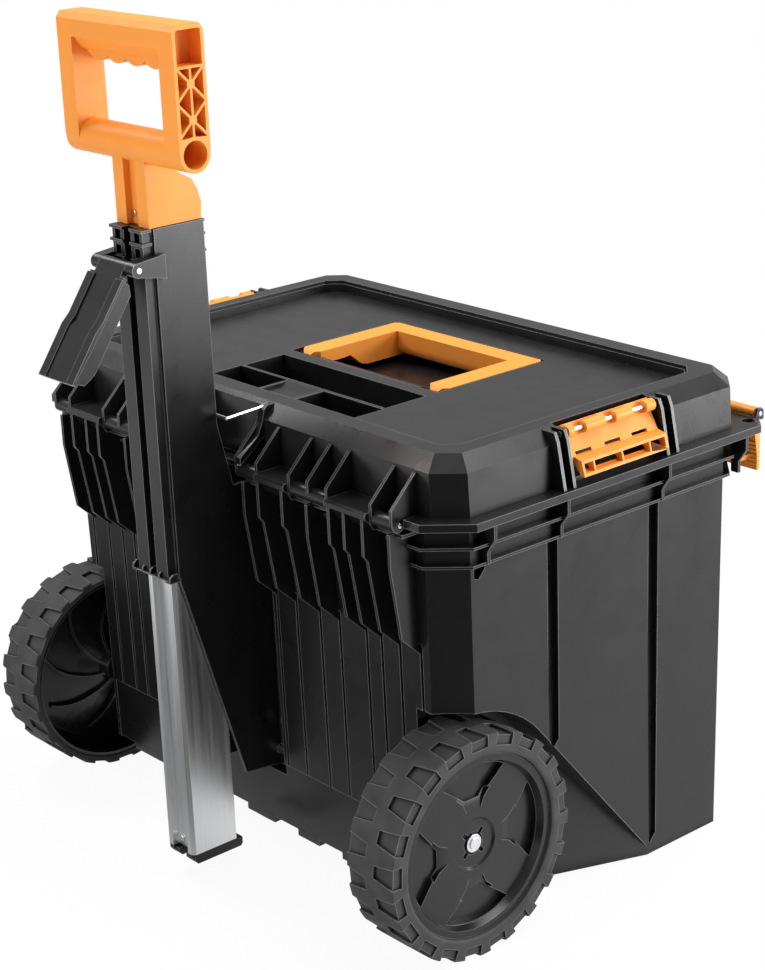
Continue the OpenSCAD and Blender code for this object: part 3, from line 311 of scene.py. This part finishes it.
def joined(tree, operation, first, second):
    """A clamped calculation with two sockets or plain numbers."""
    node = tree.nodes.new("ShaderNodeMath")
    node.operation = operation
    node.use_clamp = True
    for value, socket in zip((first, second), node.inputs):
        if isinstance(value, float):
            socket.default_value = value
        else:
            tree.links.new(value, socket)
    return node.outputs[0]


def smooth_step(tree, value, start, end):
    """Rises smoothly from zero at the start to one at the end."""
    node = tree.nodes.new("ShaderNodeMapRange")
    node.interpolation_type = "SMOOTHSTEP"
    node.inputs["From Min"].default_value = start
    node.inputs["From Max"].default_value = end
    tree.links.new(value, node.inputs["Value"])
    return node.outputs["Result"]


def glossy_strength(tree, share):
    """One for all rays but the glossy ones, which get the given share."""
    glossy = tree.nodes.new("ShaderNodeLightPath").outputs["Is Glossy Ray"]
    loss = joined(tree, "MULTIPLY", glossy, joined(tree, "SUBTRACT", 1.0, share))
    return joined(tree, "SUBTRACT", 1.0, loss)


def seen_directly(tree):
    """One for camera, glossy and transmission rays, and zero for the rest."""
    path = tree.nodes.new("ShaderNodeLightPath")
    total = joined(tree, "ADD", path.outputs["Is Camera Ray"], path.outputs["Is Glossy Ray"])
    return joined(tree, "ADD", total, path.outputs["Is Transmission Ray"])


FLOOR_HALF = 9.0
# Just under the wheels, so that the two don't share a plane
FLOOR_Z = -0.0004
FLOOR_GREY = 0.86
# Near the object the floor shows a little of its shadows, and beyond it is all white
FLOOR_WHITE_SHARE = 0.94
ALL_WHITE_FROM, ALL_WHITE_AT = 0.7, 1.9
# How bright the studio's walls and ceiling look in the object
SKY_GLOSSY_SHARE = 0.5
# For glossy rays the floor shows bright beside the box and far behind it, and close behind it
# painted shade, which dims what the object reflects there
FRONT_FLOOR_Y = (-0.45, -0.05)
REAR_FLOOR_Y = (-0.50, -0.90)
REAR_FLOOR_X = (0.10, -0.35)
REAR_FLOOR_SHARE = 0.95
DIM_FLOOR_SHARE = 0.03


# Painted reflection: how bright the floor looks to glossy rays, with painted shade close behind
# the box
def painted_floor_reflection(tree):
    place = tree.nodes.new("ShaderNodeTexCoord")
    axes = tree.nodes.new("ShaderNodeSeparateXYZ")
    tree.links.new(place.outputs["Object"], axes.inputs[0])
    front = smooth_step(tree, axes.outputs["Y"], *FRONT_FLOOR_Y)
    rear = joined(tree, "MULTIPLY", smooth_step(tree, axes.outputs["Y"], *REAR_FLOOR_Y),
                  smooth_step(tree, axes.outputs["X"], *REAR_FLOOR_X))
    rear = joined(tree, "MULTIPLY", rear, REAR_FLOOR_SHARE)
    return joined(tree, "ADD", joined(tree, "MAXIMUM", front, rear), DIM_FLOOR_SHARE)


def make_floor():
    mesh = bpy.data.meshes.new("floor")
    corners = ((-1, -1), (1, -1), (1, 1), (-1, 1))
    mesh.from_pydata([(x * FLOOR_HALF, y * FLOOR_HALF, 0) for x, y in corners], [],
                     [(0, 1, 2, 3)])
    floor = bpy.data.objects.new("floor", mesh)
    floor.location.z = FLOOR_Z
    bpy.context.scene.collection.objects.link(floor)
    material = bpy.data.materials.new("floor")
    material.use_nodes = True
    tree = material.node_tree
    shader = tree.nodes["Principled BSDF"]
    shader.inputs["Base Color"].default_value = (FLOOR_GREY, FLOOR_GREY, FLOOR_GREY, 1.0)
    shader.inputs["Roughness"].default_value = 0.9
    shader.inputs["Specular IOR Level"].default_value = 0.0
    white = tree.nodes.new("ShaderNodeEmission")
    tree.links.new(glossy_strength(tree, painted_floor_reflection(tree)), white.inputs["Strength"])
    reach = tree.nodes.new("ShaderNodeVectorMath")
    reach.operation = "LENGTH"
    tree.links.new(tree.nodes.new("ShaderNodeTexCoord").outputs["Object"], reach.inputs[0])
    white_share = joined(tree, "MAXIMUM", FLOOR_WHITE_SHARE, smooth_step(
        tree, reach.outputs["Value"], ALL_WHITE_FROM, ALL_WHITE_AT))
    share = joined(tree, "MULTIPLY", seen_directly(tree), white_share)
    mix = tree.nodes.new("ShaderNodeMixShader")
    tree.links.new(share, mix.inputs["Fac"])
    tree.links.new(shader.outputs[0], mix.inputs[1])
    tree.links.new(white.outputs[0], mix.inputs[2])
    tree.links.new(mix.outputs[0], tree.nodes["Material Output"].inputs["Surface"])
    mesh.materials.append(material)


# How strongly the surroundings light the object
WORLD_FILL = 0.14


def make_world():
    world = bpy.data.worlds.new("studio")
    bpy.context.scene.world = world
    world.use_nodes = True
    tree = world.node_tree
    background = tree.nodes["Background"]
    background.inputs["Color"].default_value = (1.0, 1.0, 1.0, 1.0)
    seen = joined(tree, "MULTIPLY", seen_directly(tree), glossy_strength(tree, SKY_GLOSSY_SHARE))
    tree.links.new(joined(tree, "MAXIMUM", seen, WORLD_FILL), background.inputs["Strength"])


def area_light(name, place, target, size, power):
    data = bpy.data.lights.new(name, "AREA")
    data.shape = "RECTANGLE"
    data.size, data.size_y = size
    data.energy = power
    light = bpy.data.objects.new(name, data)
    light.location = place
    light.rotation_mode = "QUATERNION"
    light.rotation_quaternion = (Vector(target) - Vector(place)).to_track_quat("-Z", "Y")
    bpy.context.scene.collection.objects.link(light)


MIDDLE = (0.0, -0.05, 0.30)
RIGHT_END = (0.27, 0.0, 0.45)
# Name, place, target, size in metres and power in watts
LAMPS = (
    ("key", (-1.70, -0.50, 2.70), MIDDLE, (1.4, 1.4), 66.0),
    ("side", (1.7, 1.5, 0.62), RIGHT_END, (1.6, 1.2), 60.0),
    ("top", (0.54, 0.90, 2.73), MIDDLE, (2.2, 1.8), 75.0),
    ("rear", (-0.3, -2.6, 0.9), MIDDLE, (1.8, 1.0), 30.0),
)


def make_lights():
    for lamp in LAMPS:
        area_light(*lamp)


bpy.context.scene.view_settings.view_transform = "Standard"
make_camera()
make_world()
make_floor()
make_lights()
dress_nodes()
